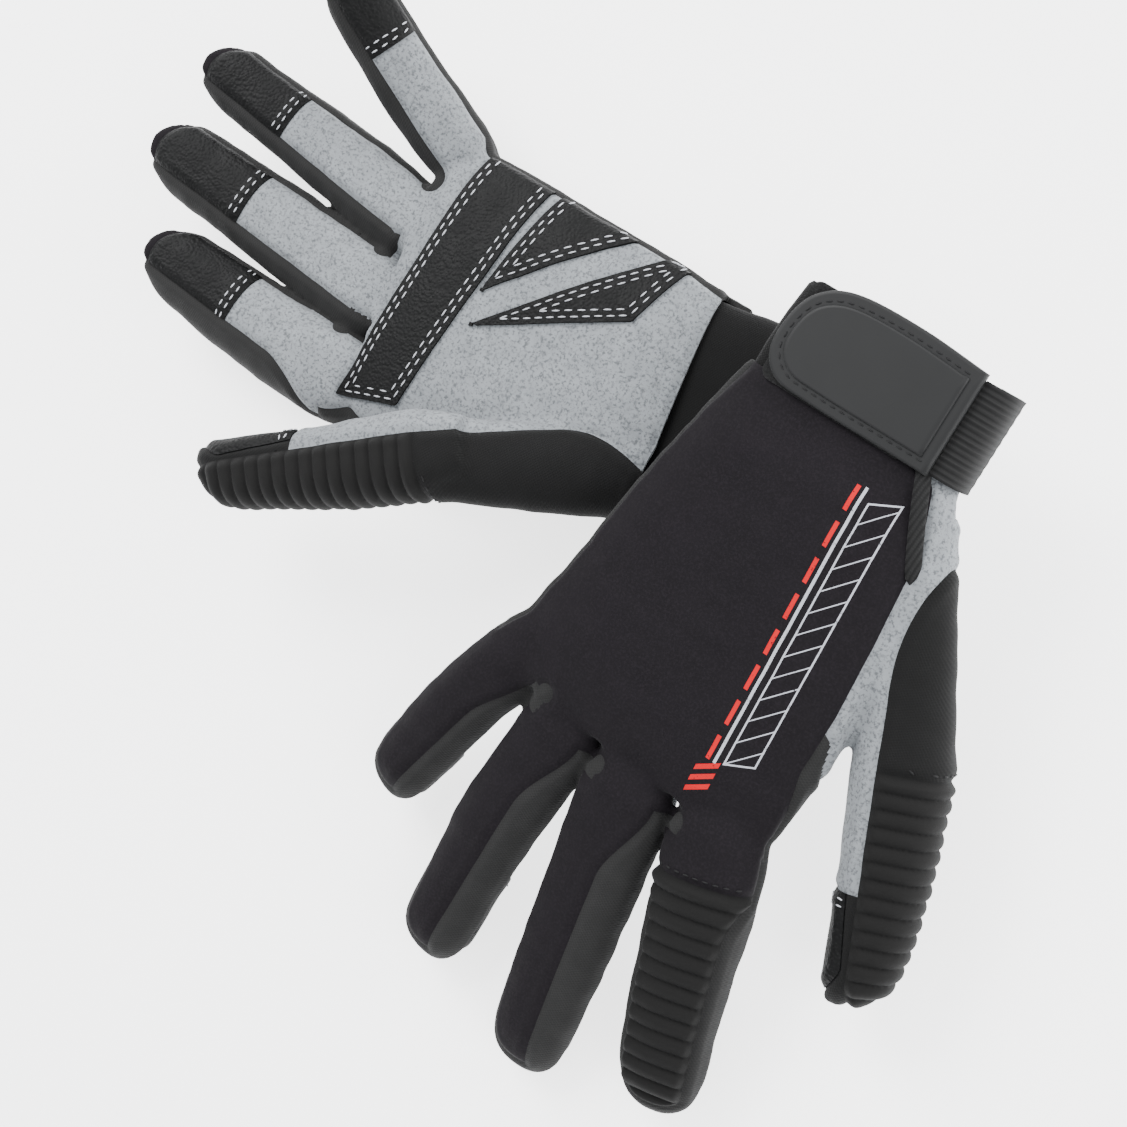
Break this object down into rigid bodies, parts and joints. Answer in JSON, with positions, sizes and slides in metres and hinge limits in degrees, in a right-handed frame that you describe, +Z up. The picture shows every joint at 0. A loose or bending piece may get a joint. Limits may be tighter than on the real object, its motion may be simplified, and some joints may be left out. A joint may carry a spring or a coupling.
{
  "type": "sailing gloves",
  "caption": "Pair of full-finger sailing gloves with grained grip patches, ribbed flex panels and a wrist strap, laid one palm up and one palm down.",
  "frame": {"origin": "on the surface the pair lies on, below the middle of the pair's bounding box", "axes": "+Z up; the left glove's fingers point about -X and it lies palm up; the right glove's fingers point about -Y and it lies palm down across the left cuff"},
  "size_m": [0.3295, 0.2628, 0.0589],
  "materials": {
    "neoprene": "matt black foam-backed jersey with a fine nap",
    "side_wall": "charcoal stretch knit",
    "suede": "light grey speckled synthetic suede",
    "grip_leather": "black grained grip leather",
    "ribbed_knit": "black ribbed stretch panel",
    "cuff_knit": "black stretch cuff",
    "elastic_webbing": "black ribbed elastic",
    "strap_rubber": "satin moulded rubber",
    "hook_pad": "moulded hook tape",
    "loop_pile": "fuzzy loop tape",
    "binding_tape": "folded grosgrain tape",
    "thread_white": "white twisted thread",
    "thread_black": "black twisted thread",
    "print_white": "white screen print",
    "print_red": "red screen print"
  },
  "bodies": {
    "left_hand": {"left_back_panel": "neoprene", "left_palm_panel": "suede", "left_outer_gusset": "neoprene", "left_palm_bar": "grip_leather", "left_palm_wedge_upper": "grip_leather", "left_palm_wedge_lower": "grip_leather", "left_cuff_band": "cuff_knit", "left_loop_patch": "loop_pile", "left_slit_binding": "binding_tape", "left_webbing": "elastic_webbing", "left_thumb_root": "suede"},
    "left_strap": {"left_strap_tab": "strap_rubber", "left_strap_cover": "strap_rubber", "left_strap_hook": "hook_pad"},
    "left_thumb": {"left_thumb_ribs": "ribbed_knit", "left_thumb_palm": "suede", "left_thumb_tip": "grip_leather"},
    "left_little": {"left_little_back": "neoprene", "left_little_palm": "suede", "left_little_tip": "grip_leather"},
    "left_ring": {"left_ring_back": "neoprene", "left_ring_palm": "suede", "left_ring_tip": "grip_leather"},
    "left_middle": {"left_middle_back": "neoprene", "left_middle_palm": "suede", "left_middle_tip": "grip_leather"},
    "left_index": {"left_index_back": "neoprene", "left_index_palm": "suede", "left_index_tip": "grip_leather", "left_index_ribs": "ribbed_knit"},
    "right_hand": {"right_back_panel": "neoprene", "right_palm_panel": "suede", "right_outer_gusset": "neoprene", "right_palm_bar": "grip_leather", "right_palm_wedge_upper": "grip_leather", "right_palm_wedge_lower": "grip_leather", "right_cuff_band": "cuff_knit", "right_loop_patch": "loop_pile", "right_slit_binding": "binding_tape", "right_webbing": "elastic_webbing", "right_thumb_root": "suede"},
    "right_strap": {"right_strap_tab": "strap_rubber", "right_strap_cover": "strap_rubber", "right_strap_hook": "hook_pad"},
    "right_thumb": {"right_thumb_ribs": "ribbed_knit", "right_thumb_palm": "suede", "right_thumb_tip": "grip_leather"},
    "right_little": {"right_little_back": "neoprene", "right_little_palm": "suede", "right_little_tip": "grip_leather"},
    "right_ring": {"right_ring_back": "neoprene", "right_ring_palm": "suede", "right_ring_tip": "grip_leather"},
    "right_middle": {"right_middle_back": "neoprene", "right_middle_palm": "suede", "right_middle_tip": "grip_leather"},
    "right_index": {"right_index_back": "neoprene", "right_index_palm": "suede", "right_index_tip": "grip_leather", "right_index_ribs": "ribbed_knit"}
  },
  "joints": [
    {"name": "left_strap_peel", "type": "hinge", "parent": "left_hand", "child": "left_strap", "pos_m": [0.05426, 0.03243, 0.00315], "axis": [-0.9945, -0.1045, 0], "range_deg": [0, 120], "stiffness_Nm_per_rad": 0.004},
    {"name": "left_thumb_bend", "type": "hinge", "parent": "left_hand", "child": "left_thumb", "pos_m": [-0.02712, 0.01821, 0.04486], "axis": [-0.4265, 0.7538, -0.5], "range_deg": [0, 35], "stiffness_Nm_per_rad": 0.12},
    {"name": "left_little_bend", "type": "hinge", "parent": "left_hand", "child": "left_little", "pos_m": [-0.06645, 0.0915, 0.02191], "axis": [0.4436, 0.8169, -0.3687], "range_deg": [0, 45], "stiffness_Nm_per_rad": 0.12},
    {"name": "left_ring_bend", "type": "hinge", "parent": "left_hand", "child": "left_ring", "pos_m": [-0.07519, 0.07004, 0.02197], "axis": [0.1864, 0.9812, -0.0508], "range_deg": [0, 45], "stiffness_Nm_per_rad": 0.12},
    {"name": "left_middle_bend", "type": "hinge", "parent": "left_hand", "child": "left_middle", "pos_m": [-0.07551, 0.04438, 0.02198], "axis": [0.1379, 0.9901, -0.0253], "range_deg": [0, 45], "stiffness_Nm_per_rad": 0.12},
    {"name": "left_index_bend", "type": "hinge", "parent": "left_hand", "child": "left_index", "pos_m": [-0.0696, 0.01685, 0.02198], "axis": [0.1206, 0.9924, -0.0235], "range_deg": [0, 45], "stiffness_Nm_per_rad": 0.12},
    {"name": "right_strap_peel", "type": "hinge", "parent": "right_hand", "child": "right_strap", "pos_m": [0.11262, 0.07871, 0.05407], "axis": [0.1034, 0.9835, 0.1486], "range_deg": [0, 120], "stiffness_Nm_per_rad": 0.004},
    {"name": "right_thumb_bend", "type": "hinge", "parent": "right_hand", "child": "right_thumb", "pos_m": [0.12591, -0.00084, 0.01669], "axis": [0.8333, 0.3305, -0.4431], "range_deg": [0, 35], "stiffness_Nm_per_rad": 0.12},
    {"name": "right_little_bend", "type": "hinge", "parent": "right_hand", "child": "right_little", "pos_m": [0.0301, -0.02297, 0.01852], "axis": [0.9142, -0.4005, -0.0619], "range_deg": [0, 45], "stiffness_Nm_per_rad": 0.12},
    {"name": "right_ring_bend", "type": "hinge", "parent": "right_hand", "child": "right_ring", "pos_m": [0.04931, -0.03591, 0.01689], "axis": [0.9878, -0.1554, -0.0105], "range_deg": [0, 45], "stiffness_Nm_per_rad": 0.12},
    {"name": "right_middle_bend", "type": "hinge", "parent": "right_hand", "child": "right_middle", "pos_m": [0.07432, -0.04153, 0.01644], "axis": [0.9991, 0.0321, 0.0279], "range_deg": [0, 45], "stiffness_Nm_per_rad": 0.12},
    {"name": "right_index_bend", "type": "hinge", "parent": "right_hand", "child": "right_index", "pos_m": [0.10244, -0.04151, 0.01689], "axis": [0.981, 0.1849, 0.0585], "range_deg": [0, 45], "stiffness_Nm_per_rad": 0.12},
    {"name": "right_glove_lift", "type": "slide", "parent": "left_hand", "child": "right_hand", "axis": [0, 0, 1], "range_m": [0, 0.12]}
  ]
}
